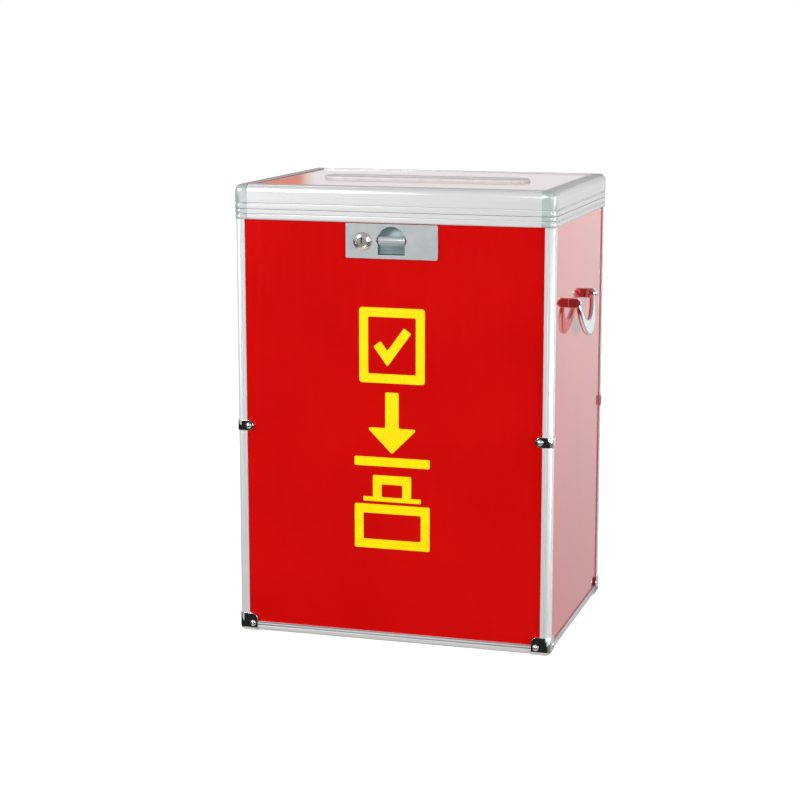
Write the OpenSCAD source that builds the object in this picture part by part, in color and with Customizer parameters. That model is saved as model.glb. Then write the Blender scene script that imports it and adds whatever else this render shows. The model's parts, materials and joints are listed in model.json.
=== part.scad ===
// Ballot box of glossy boards in aluminium edge profiles, with a hinged lid frame.
// Millimetres, +Z up, origin on the floor at the centre of the box, front facing -Y.

/* [Box] */
// Width over the corner posts
box_w = 425; // [380:1:520]
// Depth over the corner posts
box_d = 325; // [300:1:420]
// Height to the top of the lid frame
box_h = 600; // [560:1:720]
// Thickness of the wall, floor and lid boards
board_t = 4; // [3:0.5:5]
// Play of a board in its slot, on each side
board_play = 0.1; // [0.05:0.05:0.2]
// Gap between the edge of a board and the floor of its slot
board_edge_gap = 0.3; // [0.2:0.1:0.8]

/* [Edge profiles] */
// Visible leg of a post or bottom rail
edge_leg = 13; // [12:0.5:15]
// Outer corner radius of a post or bottom rail
edge_r = 6; // [4:0.5:6.5]
// Thickness of the lip in front of a board
lip_t = 2; // [1.5:0.1:2.5]
// Thickness of the lip behind a board
back_lip_t = 1.2; // [0.8:0.1:1.6]
// Web between the two board slots of a profile
web_t = 0.8; // [0.6:0.1:1.2]
// Distance of the fine line from the inner edge of a leg
line_in = 5; // [3.5:0.5:5.5]
// Radius of the fine line along each leg
line_r = 0.5; // [0.3:0.1:0.7]
// Diameter of the screw port along the core of a profile
port_d = 3; // [2:0.25:3.25]
// Wall between the screw port and the board slots
port_wall = 1.1; // [0.8:0.1:1.2]

/* [Caps and clips] */
// Sheet thickness of the bottom caps and the mid-height clips
cap_t = 1.2; // [0.8:0.1:2]
// Reach of a bottom cap along the front, the side and the floor
cap_reach = 24.5; // [22:0.5:32]
// Height of a bottom cap above the box floor
cap_h = 24; // [22:0.5:32]
// Radius of the free corners of a bottom cap
cap_corner_r = 8; // [3:0.5:9]
// Height of a mid-height clip
clip_h = 13.5; // [10:0.5:18]
// Centre height of the mid-height clips
clip_z = 282; // [150:1:380]
// Reach of a clip along the front or back
clip_front = 22; // [20:0.5:30]
// Reach of a clip along the side
clip_side = 14; // [13:0.5:20]
// Rivet shank diameter
rivet_d = 3.2; // [2.4:0.2:4]
// Diameter of the small rivet heads and of the rivet tails
rivet_head_d = 5.4; // [4.4:0.2:6.4]
// Height of the small rivet heads
rivet_head_h = 1.2; // [0.8:0.1:1.8]
// Diameter of the domed heads on the caps and clips
cap_head_d = 8.4; // [6:0.2:9.6]
// Height of the domed heads on the caps and clips
cap_head_h = 1.8; // [1:0.1:2.2]
// Distance of a rivet from the free edges of a cap or clip
rivet_inset = 6.2; // [5:0.1:6.4]
// Height of the cap rivets above the lower edge of the bottom rails
rivet_up = 10.4; // [10.2:0.1:11]

/* [Rims] */
// Height of the lid frame
lid_h = 31.6; // [29:0.2:40]
// Height of the body rim
rim_h = 13.6; // [13:0.2:18]
// Gap between the body rim and the lid frame
part_gap = 0.4; // [0.2:0.1:0.8]
// Distance by which both rims stand out from the posts
rim_out = 1.5; // [1:0.1:2.5]
// Depth of the body rim from its face to its inner edge
rim_d = 16; // [14:0.5:16.5]
// Width of the lid frame as seen from above
lid_d = 18.5; // [18:0.5:24]
// Wall thickness of the rim profiles
rim_wall = 1.4; // [1.2:0.1:1.6]
// Outer skin of the lid frame profile
lid_skin = 2; // [1.6:0.1:2.4]
// Depth of the board slot in the body rim
rim_slot = 8; // [6:0.5:8.5]
// Depth of the board slot in the lid frame
lid_slot = 6.5; // [4:0.5:7]
// Depth of the lid board below the top of the lid frame
lid_recess = 1.5; // [1.2:0.1:4]
// Radius of the rim corners as seen from above
corner_r = 9; // [6:0.5:12]
// Radius of the shoulder along the top edge of the lid
shoulder_r = 9; // [6:0.5:10]
// Rounding of the lower edge of the body rim
rim_edge_r = 2.4; // [1:0.2:3]
// Height of the shadow groove above the bottom of each rim
groove_z = 7.1; // [6:0.1:8]
// Radius of the shadow grooves
groove_r = 1; // [0.6:0.1:1.4]
// Depth of the shadow grooves
groove_in = 0.8; // [0.4:0.1:1]
// Radius of the fine line on the lid shoulder
fine_line_r = 0.4; // [0.2:0.1:0.6]
// Length of the tongues by which a corner piece holds the rim profiles
tongue_l = 12; // [8:0.5:20]
// Play of a tongue in its chamber
tongue_play = 0.1; // [0.05:0.05:0.2]

/* [Hinges] */
// Length of a hinge
hinge_w = 60; // [48:1:80]
// Distance between the centres of the two hinges
hinge_span = 240; // [180:1:270]
// Thickness of a hinge leaf
leaf_t = 1.4; // [1:0.1:2]
// Outer diameter of a hinge knuckle
knuckle_d = 6.4; // [5.6:0.2:8]
// Diameter of the hinge pins
pin_d = 3; // [2:0.1:3.6]
// Radial running clearance of the lid knuckles on the pin
pin_play = 0.05; // [0.03:0.01:0.1]
// Gap between neighbouring knuckles, and between a knuckle and the rims
knuckle_gap = 0.3; // [0.2:0.05:0.5]
// Height of the lower hinge leaf below the hinge axis
leaf_down = 12.2; // [11:0.1:13]
// Height of the upper hinge leaf above the hinge axis
leaf_up = 18; // [14:0.5:20]

/* [Lock] */
// Width of the lock plate
lock_w = 122; // [116:1:150]
// Height of the lock plate
lock_h = 44.7; // [44:0.1:52]
// Thickness of the lock plate
lock_t = 3; // [2:0.2:4]
// Distance of the lock plate below the body rim
lock_drop = 0.8; // [0.3:0.1:4]
// Corner radius of the lock plate
lock_r = 2; // [1:0.5:5]
// Width of the finger window in the lock plate
window_w = 36; // [34:1:38]
// Height of the finger window
window_h = 36.2; // [34:0.2:37]
// Height of the finger window above the lower edge of the lock plate
window_up = 5; // [4.5:0.1:6]
// Depth of the pointed notch at each end of the finger bar
notch = 2.6; // [2:0.1:2.8]
// Diameter of the finger bar
bar_d = 11.4; // [9:0.2:12]
// Radius of the grip grooves across the press flap
grip_r = 0.7; // [0.4:0.1:0.9]
// Depth of the finger bar's axis behind the face of the front board
bar_in = 3.1; // [3:0.1:3.4]
// Diameter of the finger bar's axle
axle_d = 3.6; // [3:0.1:3.6]
// Radial running clearance of the axle and the lock plug
turn_play = 0.05; // [0.03:0.01:0.1]
// Depth of the finger recess behind the face of the front board
cup_in = 10.4; // [9.5:0.1:11]
// Wall of the finger recess
cup_wall = 1.5; // [1.2:0.1:1.8]
// Thickness of the hooks on the finger bar
hook_t = 2; // [1.5:0.1:2.5]
// Offset of the lock cylinder to the left of the middle
key_x = 38.5; // [38:0.5:42]
// Diameter of the lock cylinder's rosette
key_d = 23.6; // [20:0.2:26]
// Diameter of the lock cylinder's barrel
barrel_d = 17; // [15:0.5:18]
// Diameter of the lock plug
plug_d = 12; // [10:0.5:13]
// Length of the cam from the axis of the plug
cam_l = 12.5; // [10:0.5:13]

/* [Ballot slot] */
// Length of the slot surround
slot_l = 285; // [240:1:320]
// Width of the slot surround
slot_w = 44; // [38:1:60]
// Height of the slot surround above the lid board
slot_up = 3.5; // [3:0.5:8]
// Width of the ballot slot
slit = 14; // [10:0.5:20]
// Wall of the tongue that passes through the lid board
slot_tongue = 2; // [1.5:0.1:3]
// Rounding of the surround's edges
slot_round = 2.5; // [1.5:0.25:3]
// Thickness of the clamp ring below the lid board
clamp_t = 2.4; // [1.6:0.2:4]

/* [Handles] */
// Height of the handle pivots
handle_z = 448.2; // [300:0.2:480]
// Offset of the handles from the middle of the side, towards the front
handle_front = 10; // [-20:1:40]
// Distance between the centres of the two ears of a handle
ear_span = 104; // [84:1:120]
// Width of an ear
ear_w = 8; // [6:0.5:11]
// Height of an ear
ear_h = 13; // [10:0.2:14]
// Distance of the pivot axis from the side board
ear_out = 10.2; // [8:0.2:13]
// Drop of the bail below its pivots
bail_drop = 49.4; // [40:0.2:56]
// Width of the bail at its pivots
bail_leg = 5.5; // [5:0.5:8]
// Width of the bail at its lowest point
bail_mid = 20; // [12:0.5:24]
// Thickness of the bail
bail_t = 6; // [4:0.5:7]
// Lean of the resting bail away from the wall
bail_lean = 8; // [6:1:14]
// Diameter of the bail's pivot pins
bail_pin_d = 5; // [4:0.1:6]
// Gap between a bail and its ears
bail_gap = 0.5; // [0.3:0.1:0.8]

/* [Hidden] */
$fn = 64;

half_w = box_w / 2;
half_d = box_d / 2;
left = -1;
right = 1;
front = -1;
back = 1;

// Angle that turns the front of the box to each side
at_front = 0;
at_right = 90;
at_back = 180;
at_left = 270;

// Boards and their slots
slot_gap = board_t + 2 * board_play;
slot_floor = lip_t + slot_gap + web_t;
board_in = lip_t + board_play;
board_end = slot_floor + board_edge_gap;
edge_depth = lip_t + slot_gap + back_lip_t;
port_at = slot_floor - port_wall - port_d / 2;
board_face_y = -half_d + board_in;

// Rim heights
lid_z = box_h - lid_h;
rim_top = lid_z - part_gap;
rim_z = rim_top - rim_h;
rim_face = rim_out;
rim_lip = rim_out + lip_t;
rim_back_lip = rim_lip + slot_gap + rim_wall;
chamber_low = rim_slot + rim_wall;
lid_slot_high = lid_h - lid_recess + board_play;
lid_slot_low = lid_slot_high - slot_gap;
lid_slot_in = lid_d - lid_slot;
lid_chamber_high = lid_slot_low - rim_wall;
lid_board_top = box_h - lid_recess;
lid_board_low = lid_board_top - board_t;
face_y = half_d + rim_out;
face_x = half_w + rim_out;

// Rivets
cap_rivet = cap_reach - rivet_inset;
clip_rivet = clip_front - rivet_inset;
rivet_tail = 0.9;
floor_recess = 0.2;

// Hinges
hinge_y = face_y + knuckle_d / 2 + knuckle_gap;
hinge_z = rim_top + part_gap / 2;
knuckles = 5;
knuckle_pitch = hinge_w / knuckles;
leaf_rivet_x = hinge_w * 0.36;
lower_rivet_z = hinge_z - (leaf_down + knuckle_d / 2 + knuckle_gap) / 2;
upper_rivet_z = hinge_z + (leaf_up + knuckle_d / 2 + knuckle_gap) / 2;

// Lock
lock_top = rim_z - lock_drop;
lock_low = lock_top - lock_h;
window_low = lock_low + window_up;
window_top = window_low + window_h;
bar_z = window_top - window_w / 2;
bar_y = board_face_y + bar_in;
key_z = bar_z - 0.8;
bar_l = window_w - 0.8;
bar_tip = notch - 0.5;
bar_tip_r = 0.7;
notch_half = bar_d / 2 + 0.5;
cup_gap = notch + 0.3;
cup_half = window_w / 2 + cup_gap;
cup_outer = cup_half + cup_wall;
cup_low = window_low - 0.9 - cup_wall;
cup_top = window_top + 1.4 + cup_wall;
cup_back = board_face_y + cup_in + cup_wall;
hook_in = cup_outer + 0.6;
hook_out = hook_in + hook_t;
axle_half = hook_out + 0.4;
hook_hub_r = axle_d / 2 + 1;
hook_reach = cup_back - bar_y + 1.2;
hook_stem = 4;
hook_up = 17;
cut_left = key_x + key_d / 2;
cut_right = axle_half + 2;
cut_low = cup_low - 0.7;
cut_top = lock_top - 0.2;
barrel_end = cup_back - 0.1;
cam_t = 2;
cam_play = 0.2;
cam_hub_d = 11;
cam_w = 8;
plug_tail_d = 6;
nut_t = 4;
nut_d = 23;
rosette_rim = 1.5;
rosette_dome = 3.3;
rosette_line_r = 0.6;
key_slot_w = 1.8;
key_slot_h = 8.4;
key_slot_in = 6;

// Strike on the lid that the hooks catch
strike_t = 2;
strike_half = hook_out + 5.4;
strike_y = -face_y + lid_d;
strike_low = bar_z + 8;
strike_top = lid_z + lid_chamber_high - 2;
catch_half = hook_t + 2;
catch_low = bar_z + hook_up - 5.6;
catch_top = bar_z + hook_up + 2.4;
strike_rivet_z = lid_z + lid_chamber_high / 2;
strike_rivet_x = strike_half - 8;

// Ballot slot
surround_run = slot_l - slot_w;
slit_r = slit / 2;
tongue_r = slit_r + slot_tongue;
board_hole_r = tongue_r + board_edge_gap;
clamp_r = slot_w / 2 - 4;

// Handles
side_face = half_w - board_in;
pivot_x = side_face + ear_out;
handle_y = -handle_front;
bail_half = (ear_span - ear_w) / 2 - bail_gap;
bail_inner = bail_half - bail_leg;
bail_drop_in = bail_drop - bail_mid;
// Radius of the circle through two points at half-width a that dips by d, and its centre below them
function dip_r(a, d) = (d + a * a / d) / 2;
function dip_c(a, d) = d - dip_r(a, d);
bail_hub_r = bail_leg * 0.82;
pin_reach = 0.8 * ear_w;
ear_round = ear_h / 2;
screw_d = 3;
screw_head_d = 6;
screw_head_h = 2.2;
screw_rise = 3.1;
screw_in = ear_out - ear_round + 1.6;

aluminium = [0.86, 0.87, 0.88];
chrome = [0.75, 0.77, 0.8];
red = [0.78, 0.05, 0.04];
grey_plastic = [0.66, 0.71, 0.71];
pale_plastic = [0.88, 0.89, 0.89];
steel = [0.7, 0.71, 0.72];

// Square corner piece that remains outside a fillet of radius r at the origin
module fillet_waste(r) {
    difference() {
        square(r);
        translate([r, r]) circle(r);
    }
}

// Rectangle with one rounded corner at the origin and one at its far end
module two_round_square(a, b, r_near, r_far) {
    difference() {
        square([a, b]);
        if (r_near > 0) fillet_waste(r_near);
        if (r_far > 0) translate([a, b]) rotate(180) fillet_waste(r_far);
    }
}

// Plan or profile in local x and y, drawn along global X with its y upwards
module along_x(l) {
    rotate([90, 0, 90]) linear_extrude(l) children();
}

// Profile in local x and y, drawn along global Y with its y upwards
module along_y(l) {
    translate([0, l, 0]) rotate([90, 0, 0]) linear_extrude(l) children();
}

// A run of profile on one side of the box: local x leads inwards from the outer face, local y is up
module side_run(turn, outer, l, z) {
    rotate([0, 0, turn]) translate([-l / 2, -outer, z]) along_x(l) children();
}

// A piece drawn for the front left corner, placed at any corner
module at_corner(sx, sy) {
    mirror([sx == right ? 1 : 0, 0, 0]) mirror([0, sy == back ? 1 : 0, 0]) children();
}

// Spherical head of diameter d and height h, standing on the plane z = 0
module dome(d, h) {
    r = (d * d / 4 + h * h) / (2 * h);
    rotate_extrude() intersection() {
        translate([0, h - r]) circle(r);
        square([d / 2, h]);
    }
}

// Corner profile with a slot in each leg and a screw port in its core
module edge_section() {
    difference() {
        union() {
            square([edge_leg, edge_depth]);
            square([edge_depth, edge_leg]);
        }
        fillet_waste(edge_r);
        translate([slot_floor, lip_t]) square([edge_leg, slot_gap]);
        translate([lip_t, slot_floor]) square([slot_gap, edge_leg]);
        translate([port_at, port_at]) circle(d = port_d);
    }
}

// Fine lines along the two faces of a profile
module edge_lines() {
    translate([edge_leg - line_in, 0]) circle(line_r);
    translate([0, edge_leg - line_in]) circle(line_r);
}

module post(sx, sy) {
    color(aluminium) at_corner(sx, sy) translate([-half_w, -half_d, cap_t]) difference() {
        intersection() {
            linear_extrude(rim_z - cap_t) edge_section();
            ball_corner_block(edge_leg, box_h, edge_r);
        }
        // The lines start above the rounded foot, inside the cap
        translate([0, 0, edge_r + 2]) linear_extrude(box_h) edge_lines();
    }
}

module bottom_rail(turn, across, outer) {
    color(aluminium) difference() {
        side_run(turn, outer, 2 * (across - edge_leg), cap_t) difference() {
            edge_section();
            edge_lines();
        }
        cap_rivet_holes();
    }
}

// Solid corner whose faces follow an outline, turned through the radius r
module turned_corner(leg, r) {
    translate([r, r, 0]) rotate([0, 0, 180]) rotate_extrude(angle = 90)
        intersection() {
            translate([r, 0]) mirror([1, 0]) children();
            square([r, box_h]);
        }
    translate([r, 0, 0]) along_x(leg - r) children();
    translate([0, r, 0]) along_y(leg - r) children();
}

// Block with a ball corner of radius r at the origin and the three edges there rounded alike
module ball_corner_block(a, c, r) {
    turned_corner(a, r) difference() {
        square([a, c]);
        fillet_waste(r);
    }
}

// Places children at the rivets of one corner, pointing out of the box
module front_cap_rivet() {
    translate([-half_w + cap_rivet, -half_d, cap_t + rivet_up]) rotate([90, 0, 0]) children();
}

module side_cap_rivet() {
    translate([-half_w, -half_d + cap_rivet, cap_t + rivet_up]) rotate([0, -90, 0]) children();
}

module floor_cap_rivet() {
    translate([-half_w + cap_rivet, -half_d + cap_rivet, cap_t]) rotate([180, 0, 0]) children();
}

module clip_rivet_place() {
    translate([-half_w + clip_rivet, -half_d, clip_z]) rotate([90, 0, 0]) children();
}

// Straight hole for a rivet through a cap or clip and all that lies behind it
module rivet_hole() {
    translate([0, 0, -edge_depth - 1]) cylinder(d = rivet_d, h = edge_depth + cap_t + 2);
}

// Rivet from its tail at the given depth to a domed head on the sheet
module rivet(deep) {
    translate([0, 0, -deep]) cylinder(d = rivet_d, h = deep + cap_t);
    translate([0, 0, cap_t]) dome(cap_head_d, cap_head_h);
    translate([0, 0, -deep - rivet_tail]) cylinder(d = rivet_head_d, h = rivet_tail);
}

module cap_rivet_holes() {
    for (sx = [left, right], sy = [front, back]) at_corner(sx, sy) {
        front_cap_rivet() rivet_hole();
        side_cap_rivet() rivet_hole();
    }
}

// Rivet of the floor leaf, sunk so that the cap stands flat
module flush_rivet() {
    translate([0, 0, -board_in - board_t]) cylinder(d = rivet_d, h = board_in + board_t + cap_t - floor_recess);
    translate([0, 0, -board_in - board_t - rivet_tail]) cylinder(d = rivet_head_d, h = rivet_tail);
}

module bottom_cap(sx, sy) {
    color(chrome) at_corner(sx, sy) difference() {
        translate([-half_w - cap_t, -half_d - cap_t, 0]) intersection() {
            ball_corner_block(cap_reach + cap_t, cap_h + cap_t, edge_r + cap_t);
            linear_extrude(cap_h + cap_t) two_round_square(cap_reach + cap_t, cap_reach + cap_t, 0, cap_corner_r);
            along_y(cap_reach + cap_t) two_round_square(cap_reach + cap_t, cap_h + cap_t, 0, cap_corner_r);
            along_x(cap_reach + cap_t) two_round_square(cap_reach + cap_t, cap_h + cap_t, 0, cap_corner_r);
        }
        translate([-half_w, -half_d, cap_t]) ball_corner_block(2 * cap_reach, box_h, edge_r);
        front_cap_rivet() rivet_hole();
        side_cap_rivet() rivet_hole();
        floor_cap_rivet() rivet_hole();
    }
}

module mid_clip(sx, sy) {
    color(chrome) at_corner(sx, sy) difference() {
        translate([-half_w - cap_t, -half_d - cap_t, clip_z - clip_h / 2]) intersection() {
            linear_extrude(clip_h) difference() {
                two_round_square(clip_front + cap_t, clip_side + cap_t, edge_r + cap_t, 0);
                translate([cap_t, cap_t]) two_round_square(clip_front + 1, clip_side + 1, edge_r, 0);
            }
            along_y(clip_side + cap_t) union() {
                square([clip_front + cap_t - clip_h / 2, clip_h]);
                translate([clip_front + cap_t - clip_h / 2, clip_h / 2]) circle(d = clip_h);
            }
        }
        clip_rivet_place() rivet_hole();
    }
}

module corner_rivets() {
    color(steel) for (sx = [left, right], sy = [front, back]) at_corner(sx, sy) {
        front_cap_rivet() rivet(edge_depth);
        side_cap_rivet() rivet(edge_depth);
        floor_cap_rivet() flush_rivet();
        clip_rivet_place() rivet(board_in + board_t);
    }
}

// Upright board between two posts, with a narrower tongue in the body rim
module wall_board(turn, outer, across) {
    full_half = across - board_end;
    tongue_half = across + rim_out - lid_d - board_edge_gap;
    low = cap_t + board_end;
    color(red) rotate([0, 0, turn]) translate([0, -outer + board_in + board_t, 0])
        rotate([90, 0, 0]) linear_extrude(board_t) {
            translate([-full_half, low]) square([2 * full_half, rim_z - board_edge_gap - low]);
            translate([-tongue_half, low]) square([2 * tongue_half, rim_z + rim_slot - board_edge_gap - low]);
        }
}

module wall_rivet_holes() {
    cap_rivet_holes();
    for (sx = [left, right], sy = [front, back]) at_corner(sx, sy) clip_rivet_place() rivet_hole();
}

module front_panel() {
    color(red) difference() {
        wall_board(at_front, half_d, half_w);
        wall_rivet_holes();
        translate([-cut_left, -half_d, cut_low]) cube([cut_left + cut_right, edge_leg, cut_top - cut_low]);
    }
}

module back_panel() {
    color(red) difference() {
        wall_board(at_back, half_d, half_w);
        wall_rivet_holes();
    }
}

module side_panel(turn) {
    color(red) difference() {
        wall_board(turn, half_w, half_d);
        wall_rivet_holes();
        handle_screw_places() translate([0, 0, -board_t - 1]) cylinder(d = screw_d, h = board_t + 2);
    }
}

// Board in plan, cut out at its corners to pass the corner profiles
module cross_plan(half_x, half_y, notch_size) {
    translate([-half_x, -half_y + notch_size]) square([2 * half_x, 2 * (half_y - notch_size)]);
    translate([-half_x + notch_size, -half_y]) square([2 * (half_x - notch_size), 2 * half_y]);
}

module bottom_panel() {
    color(red) difference() {
        translate([0, 0, cap_t + board_in]) linear_extrude(board_t)
            cross_plan(half_w - board_end, half_d - board_end, edge_leg - board_end + board_edge_gap);
        for (sx = [left, right], sy = [front, back]) at_corner(sx, sy) floor_cap_rivet() rivet_hole();
    }
}

// Filled outline of the body rim: rounded lower edge and shadow groove on its face
module rim_outline(deep) {
    difference() {
        square([deep, rim_h]);
        fillet_waste(rim_edge_r);
        translate([groove_in - groove_r, groove_z]) circle(groove_r);
    }
}

module rim_section() {
    difference() {
        rim_outline(rim_d);
        translate([rim_lip, -1]) square([slot_gap, rim_slot + 1]);
        translate([rim_back_lip, -1]) square([rim_d, chamber_low + 1]);
        translate([rim_back_lip, 0]) square([rim_d - rim_back_lip - rim_wall, rim_h - rim_wall]);
        translate([rim_wall, chamber_low])
            square([rim_back_lip - 2 * rim_wall, rim_h - rim_wall - chamber_low]);
    }
}

// Filled outline of the lid frame: shoulder along the top edge, groove on its face
module lid_outline(deep) {
    difference() {
        square([deep, lid_h]);
        translate([0, lid_h]) rotate(-90) fillet_waste(shoulder_r);
        translate([groove_in - groove_r, groove_z]) circle(groove_r);
    }
}

module lid_section() {
    shoulder_z = lid_h - shoulder_r;
    inner_r = shoulder_r - lid_skin;
    difference() {
        lid_outline(lid_d);
        // Fine line half way up the shoulder
        translate([shoulder_r * 0.5, lid_h - shoulder_r * 0.134]) circle(fine_line_r);
        // Main chamber
        translate([lid_skin, rim_wall])
            square([lid_d - rim_wall - lid_skin, lid_chamber_high - rim_wall]);
        // Chamber that follows the shoulder
        intersection() {
            translate([lid_skin, rim_wall])
                square([lid_slot_in - rim_wall - lid_skin, lid_h - lid_skin - rim_wall]);
            union() {
                translate([shoulder_r, shoulder_z]) circle(inner_r);
                translate([shoulder_r, rim_wall]) square([lid_d, lid_h]);
                translate([0, rim_wall]) square([lid_d, shoulder_z - rim_wall]);
            }
        }
        // Slot for the lid board
        translate([lid_slot_in, lid_slot_low]) square([lid_d, slot_gap]);
    }
}

module rim_rail(turn, outer, across) {
    color(aluminium) side_run(turn, outer, 2 * (across - lid_d), rim_z) rim_section();
}

module rim_back() {
    color(aluminium) difference() {
        rim_rail(at_back, face_y, face_x);
        leaf_rivets_at(lower_rivet_z) leaf_rivet_hole();
    }
}

module lid_rail(turn, outer, across) {
    color(aluminium) side_run(turn, outer, 2 * (across - lid_d), lid_z) lid_section();
}

module lid_rail_back() {
    color(aluminium) difference() {
        lid_rail(at_back, face_y, face_x);
        leaf_rivets_at(upper_rivet_z) leaf_rivet_hole();
    }
}

module lid_rail_front() {
    color(aluminium) difference() {
        lid_rail(at_front, face_y, face_x);
        strike_rivets_at() cylinder(d = rivet_d, h = 3 * rim_wall, center = true);
    }
}

// Tongues that enter the chambers of the two profiles meeting at a corner
module corner_tongues(in, low, wide, high) {
    translate([lid_d, in, low]) cube([tongue_l, wide, high]);
    translate([in, lid_d, low]) cube([wide, tongue_l, high]);
}

module rim_corner(sx, sy) {
    play = tongue_play;
    color(grey_plastic) at_corner(sx, sy) translate([-face_x, -face_y, rim_z]) {
        turned_corner(lid_d, corner_r) rim_outline(lid_d);
        corner_tongues(
            rim_wall + play, chamber_low + play,
            rim_back_lip - 2 * rim_wall - 2 * play, rim_h - rim_wall - chamber_low - 2 * play
        );
    }
}

module lid_corner(sx, sy) {
    play = tongue_play;
    color(grey_plastic) at_corner(sx, sy) translate([-face_x, -face_y, lid_z]) {
        turned_corner(lid_d, corner_r) lid_outline(lid_d);
        corner_tongues(
            lid_skin + play, rim_wall + play,
            lid_d - rim_wall - lid_skin - 2 * play, lid_chamber_high - rim_wall - 2 * play
        );
    }
}

module lid_panel() {
    end = lid_slot_in + board_edge_gap;
    color(red) difference() {
        translate([0, 0, lid_board_low]) linear_extrude(board_t)
            cross_plan(face_x - end, face_y - end, lid_d - end + board_edge_gap);
        translate([0, 0, lid_board_low - 1]) linear_extrude(board_t + 2) stadium(board_hole_r);
    }
}

// Outline with round ends that keeps the distance r from the line of the slot
module stadium(r) {
    translate([-surround_run / 2, -r]) square([surround_run, 2 * r]);
    for (s = [left, right]) translate([s * surround_run / 2, 0]) circle(r);
}

// Ring around the slot: a half profile with x as the distance from the line of the slot
module slot_ring() {
    for (turn = [0, 180]) rotate([0, 0, turn]) {
        translate([-surround_run / 2, 0, 0]) along_x(surround_run) children();
        translate([-surround_run / 2, 0, 0]) rotate([0, 0, 90]) rotate_extrude(angle = 180) children();
    }
}

module slot_surround() {
    outer_r = slot_w / 2;
    color(pale_plastic) translate([0, 0, lid_board_top]) slot_ring() difference() {
        union() {
            translate([slit_r, 0]) square([outer_r - slit_r, slot_up]);
            translate([slit_r, -board_t - clamp_t]) square([slot_tongue, board_t + clamp_t + slot_up]);
        }
        translate([outer_r, slot_up]) rotate(180) fillet_waste(slot_round);
        translate([slit_r, slot_up]) rotate(-90) fillet_waste(slot_round);
    }
}

module slot_clamp_ring() {
    color(grey_plastic) translate([0, 0, lid_board_low - clamp_t]) slot_ring()
        translate([tongue_r + board_play, 0]) square([clamp_r - tongue_r - board_play, clamp_t]);
}

// Hinge parts are drawn for one hinge with its axis on the X axis
module knuckle_barrels(first) {
    for (i = [first : 2 : knuckles - 1])
        translate([-hinge_w / 2 + i * knuckle_pitch + knuckle_gap / 2, 0, 0])
            rotate([0, 90, 0]) cylinder(d = knuckle_d, h = knuckle_pitch - knuckle_gap);
}

module knuckle_roots(first, low, high) {
    to_face = hinge_y - face_y;
    for (i = [first : 2 : knuckles - 1])
        translate([-hinge_w / 2 + i * knuckle_pitch + knuckle_gap / 2, -to_face, low])
            cube([knuckle_pitch - knuckle_gap, to_face, high - low]);
}

module at_hinges() {
    for (s = [left, right]) translate([s * hinge_span / 2, hinge_y, hinge_z]) children();
}

module leaf_rivets_at(z) {
    for (s = [left, right], x = [-leaf_rivet_x, 0, leaf_rivet_x])
        translate([s * hinge_span / 2 + x, face_y, z]) rotate([-90, 0, 0]) children();
}

module leaf_rivet_hole() {
    translate([0, 0, -lip_t - rim_out + board_play]) cylinder(d = rivet_d, h = lip_t + rim_out + leaf_t + 1);
}

// Rivet through a leaf and the skin of the profile behind it
module leaf_rivet(deep) {
    translate([0, 0, -deep]) cylinder(d = rivet_d, h = deep + leaf_t);
    translate([0, 0, leaf_t]) dome(rivet_head_d, rivet_head_h);
}

module hinge_leaves(first, low, high, root_low, root_high, bore) {
    to_face = hinge_y - face_y;
    at_hinges() difference() {
        union() {
            translate([-hinge_w / 2, -to_face, low]) cube([hinge_w, leaf_t, high - low]);
            knuckle_roots(first, root_low, root_high);
            knuckle_barrels(first);
        }
        translate([-hinge_w, 0, 0]) rotate([0, 90, 0]) cylinder(d = bore, h = 2 * hinge_w);
    }
}

module hinge_body_leaves() {
    edge = knuckle_d / 2 + knuckle_gap;
    color(steel) difference() {
        hinge_leaves(0, -leaf_down, -edge, -edge, 0, pin_d);
        leaf_rivets_at(lower_rivet_z) leaf_rivet_hole();
    }
}

module hinge_lid_leaves() {
    edge = knuckle_d / 2 + knuckle_gap;
    color(steel) difference() {
        hinge_leaves(1, edge, leaf_up, 0, edge, pin_d + 2 * pin_play);
        leaf_rivets_at(upper_rivet_z) leaf_rivet_hole();
    }
}

module hinge_pins() {
    color(steel) at_hinges() translate([-hinge_w / 2, 0, 0]) rotate([0, 90, 0])
        cylinder(d = pin_d, h = hinge_w);
}

module body_hinge_rivets() {
    color(steel) leaf_rivets_at(lower_rivet_z) leaf_rivet(lip_t + rim_out - board_play);
}

module strike_rivets_at() {
    for (s = [left, right]) translate([s * strike_rivet_x, strike_y, strike_rivet_z]) rotate([-90, 0, 0])
        children();
}

module lid_rivets() {
    color(steel) {
        leaf_rivets_at(upper_rivet_z) leaf_rivet(lid_skin);
        strike_rivets_at() {
            translate([0, 0, -rim_wall]) cylinder(d = rivet_d, h = rim_wall + strike_t);
            translate([0, 0, strike_t]) dome(rivet_head_d, rivet_head_h);
        }
    }
}

// Plate hanging from the lid frame, with a catch for each hook
module lid_strike() {
    catch_x = (hook_in + hook_out) / 2;
    color(steel) difference() {
        translate([-strike_half, strike_y, strike_low])
            cube([2 * strike_half, strike_t, strike_top - strike_low]);
        for (s = [left, right]) translate([s * catch_x - catch_half, strike_y - 1, catch_low])
            cube([2 * catch_half, strike_t + 2, catch_top - catch_low]);
        strike_rivets_at() cylinder(d = rivet_d, h = 3 * strike_t, center = true);
    }
}

module window_plan() {
    translate([-window_w / 2, window_low]) square([window_w, bar_z - window_low]);
    translate([0, bar_z]) circle(d = window_w);
    translate([0, bar_z]) polygon([
        [-window_w / 2 - notch, 0], [-window_w / 2, -notch_half], [window_w / 2, -notch_half],
        [window_w / 2 + notch, 0], [window_w / 2, notch_half], [-window_w / 2, notch_half]
    ]);
}

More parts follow.
